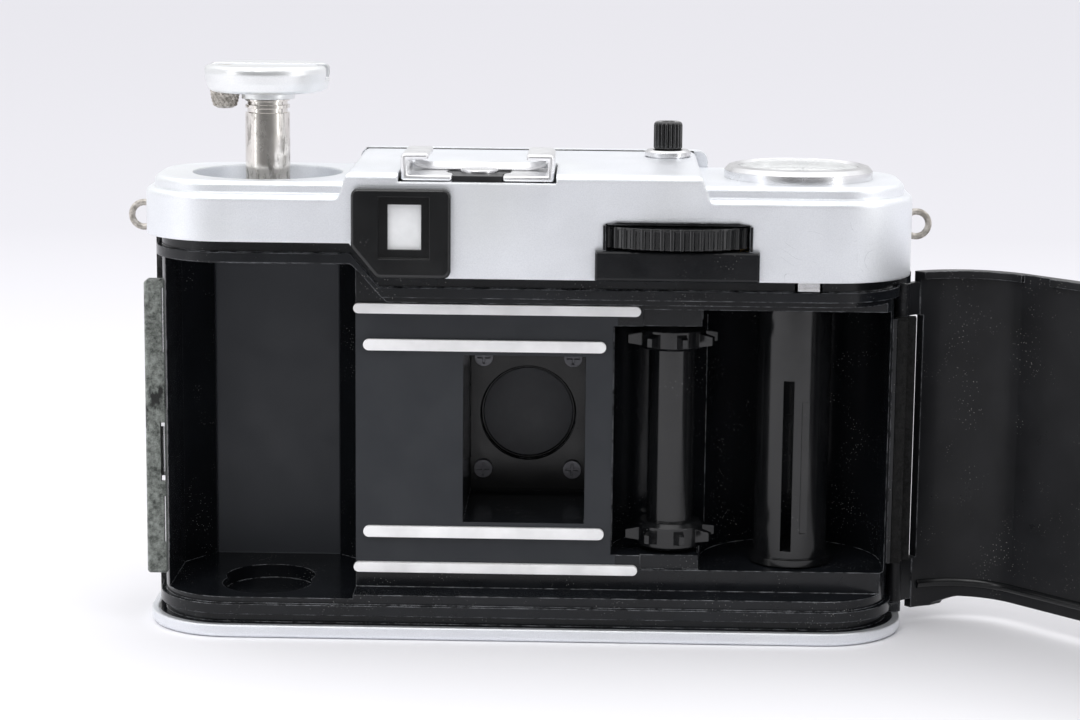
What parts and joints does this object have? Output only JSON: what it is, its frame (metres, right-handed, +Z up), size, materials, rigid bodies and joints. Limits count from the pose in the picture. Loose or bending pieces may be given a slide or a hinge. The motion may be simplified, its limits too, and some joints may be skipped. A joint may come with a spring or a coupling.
{
  "type": "half frame camera",
  "caption": "Half frame film camera with a hinged back door standing open, pull-up rewind knob, ribbed winding wheel, film chambers and a fixed lens with a light cell ring.",
  "frame": {"origin": "mouth of the tripod bush on the underside, below the lens", "axes": "+X towards the cartridge chamber, +Y towards the film door (the lens faces -Y), +Z up"},
  "size_m": [0.1867, 0.1077, 0.0794],
  "materials": {
    "body_black": "satin black paint",
    "bright_steel": "bright",
    "satin_chrome": "satin chrome",
    "black_plastic": "matte",
    "gloss_black": "gloss",
    "clear_glass": "clear",
    "coated_glass": "coated",
    "leatherette": "grained",
    "ring_black": "black anodised",
    "selenium": "dark",
    "tarnished_steel": "tarnished",
    "brass": "machined",
    "dial_white": "printed",
    "polished_nickel": "polished"
  },
  "bodies": {
    "camera_body": {"chassis": "body_black", "film_rails": "bright_steel", "base_cover": "satin_chrome", "base_screws": "bright_steel", "tripod_bush": "bright_steel", "top_cover": "satin_chrome", "bezel_gasket": "black_plastic", "front_bezel": "satin_chrome", "viewfinder_window": "clear_glass", "viewfinder_tube": "body_black", "eyepiece_frame": "gloss_black", "eyepiece_lens": "clear_glass", "meter_housing": "black_plastic", "accessory_shoe": "bright_steel", "shoe_insulator": "black_plastic", "leatherette": "leatherette", "lens_mount_plate": "body_black", "lens_plate_screws": "body_black", "rear_lens": "coated_glass", "shutter_housing": "body_black", "lens_base_ring": "satin_chrome", "lens_barrel": "ring_black", "selenium_cell": "selenium", "selenium_window": "clear_glass", "name_ring": "ring_black", "front_lens": "coated_glass", "wheel_housing": "black_plastic", "counter_ring": "bright_steel", "counter_window": "clear_glass", "button_collar": "bright_steel", "rewind_bush": "bright_steel", "strap_lugs": "tarnished_steel", "hinge_pin": "bright_steel", "latch_plate": "body_black"},
    "door": {"back_door": "body_black", "pressure_studs": "bright_steel", "pressure_spring": "bright_steel"},
    "pressure_plate": {"pressure_plate": "ring_black"},
    "latch": {"latch_bar": "bright_steel"},
    "wind": {"sprocket": "gloss_black", "wind_gear": "brass", "thumbwheel": "black_plastic"},
    "take_up": {"spool": "gloss_black", "spool_gear": "brass"},
    "counter": {"counter_dial": "dial_white"},
    "counter_reset": {"counter_reset_tab": "bright_steel"},
    "release": {"shutter_button": "black_plastic"},
    "rewind_release": {"rewind_release_button": "bright_steel"},
    "contact": {"shoe_contact": "bright_steel"},
    "rewind_slide": {"rewind_sleeve": "polished_nickel"},
    "rewind_turn": {"rewind_knob": "satin_chrome", "rewind_spindle": "bright_steel", "crank_pin": "bright_steel"},
    "crank": {"crank_lever": "satin_chrome"},
    "crank_grip": {"crank_grip": "tarnished_steel"},
    "aperture": {"aperture_ring": "ring_black"},
    "film_speed": {"film_speed_ring": "satin_chrome"},
    "blade_left": {"shutter_blade_left": "ring_black"},
    "blade_right": {"shutter_blade_right": "ring_black"}
  },
  "joints": [
    {"name": "door_hinge", "type": "hinge", "parent": "camera_body", "child": "door", "pos_m": [-0.0533, 0.002, 0.0275], "axis": [0, 0, 1], "range_deg": [-132, 8]},
    {"name": "pressure_plate_float", "type": "slide", "parent": "door", "child": "pressure_plate", "axis": [-0.7431, -0.6691, 0], "range_m": [0, 0.0008], "stiffness_N_per_m": 400, "springref_m": -0.0006},
    {"name": "latch_slide", "type": "slide", "parent": "camera_body", "child": "latch", "axis": [0, 0, 1], "range_m": [-0.004, 0]},
    {"name": "wind_spin", "type": "hinge", "parent": "camera_body", "child": "wind", "pos_m": [-0.0208, 0.003, 0.0275], "axis": [0, 0, 1], "continuous": true},
    {"name": "spool_spin", "type": "hinge", "parent": "camera_body", "child": "take_up", "pos_m": [-0.0382, 0.00113, 0.0275], "axis": [0, 0, 1], "continuous": true},
    {"name": "counter_spin", "type": "hinge", "parent": "camera_body", "child": "counter", "pos_m": [-0.0382, 0, 0.062], "axis": [0, 0, 1], "continuous": true},
    {"name": "counter_reset_press", "type": "slide", "parent": "camera_body", "child": "counter_reset", "axis": [0, 1, 0], "range_m": [-0.001, 0], "stiffness_N_per_m": 100, "springref_m": 0.001},
    {"name": "release_press", "type": "slide", "parent": "camera_body", "child": "release", "axis": [0, 0, 1], "range_m": [-0.0018, 0], "stiffness_N_per_m": 500, "springref_m": 0.0015},
    {"name": "rewind_release_press", "type": "slide", "parent": "camera_body", "child": "rewind_release", "axis": [0, 0, 1], "range_m": [0, 0.0012], "stiffness_N_per_m": 400, "springref_m": -0.001},
    {"name": "contact_press", "type": "slide", "parent": "camera_body", "child": "contact", "axis": [0, 0, 1], "range_m": [-0.0003, 0], "stiffness_N_per_m": 500, "springref_m": 0.0006},
    {"name": "rewind_lift", "type": "slide", "parent": "camera_body", "child": "rewind_slide", "axis": [0, 0, 1], "range_m": [-0.0133, 0]},
    {"name": "rewind_spin", "type": "hinge", "parent": "rewind_slide", "child": "rewind_turn", "pos_m": [0.03685, 0.0005, 0.07], "axis": [0, 0, 1], "continuous": true},
    {"name": "crank_fold", "type": "hinge", "parent": "rewind_turn", "child": "crank", "pos_m": [0.03105, 0.0005, 0.0784], "axis": [0, -1, 0], "range_deg": [0, 180]},
    {"name": "crank_grip_spin", "type": "hinge", "parent": "crank", "child": "crank_grip", "pos_m": [0.04285, 0.0005, 0.076], "axis": [0, 0, 1], "continuous": true},
    {"name": "aperture_turn", "type": "hinge", "parent": "camera_body", "child": "aperture", "pos_m": [0, -0.018, 0.0275], "axis": [0, -1, 0], "range_deg": [-110, 40]},
    {"name": "film_speed_turn", "type": "hinge", "parent": "camera_body", "child": "film_speed", "pos_m": [0, -0.0215, 0.0275], "axis": [0, -1, 0], "range_deg": [-60, 60]},
    {"name": "blade_left_turn", "type": "hinge", "parent": "camera_body", "child": "blade_left", "pos_m": [0.0105, -0.01575, 0.0275], "axis": [0, -1, 0], "range_deg": [0, 24]},
    {"name": "blade_right_turn", "type": "hinge", "parent": "camera_body", "child": "blade_right", "pos_m": [-0.0105, -0.01655, 0.0275], "axis": [0, -1, 0], "range_deg": [0, 24]}
  ],
  "couplings": [
    {"joint": "spool_spin", "follows": "wind_spin", "ratio": -1.0588},
    {"joint": "counter_spin", "follows": "wind_spin", "ratio": 0.025},
    {"joint": "latch_slide", "follows": "rewind_lift", "ratio": 0.3},
    {"joint": "blade_right_turn", "follows": "blade_left_turn", "ratio": 1}
  ]
}
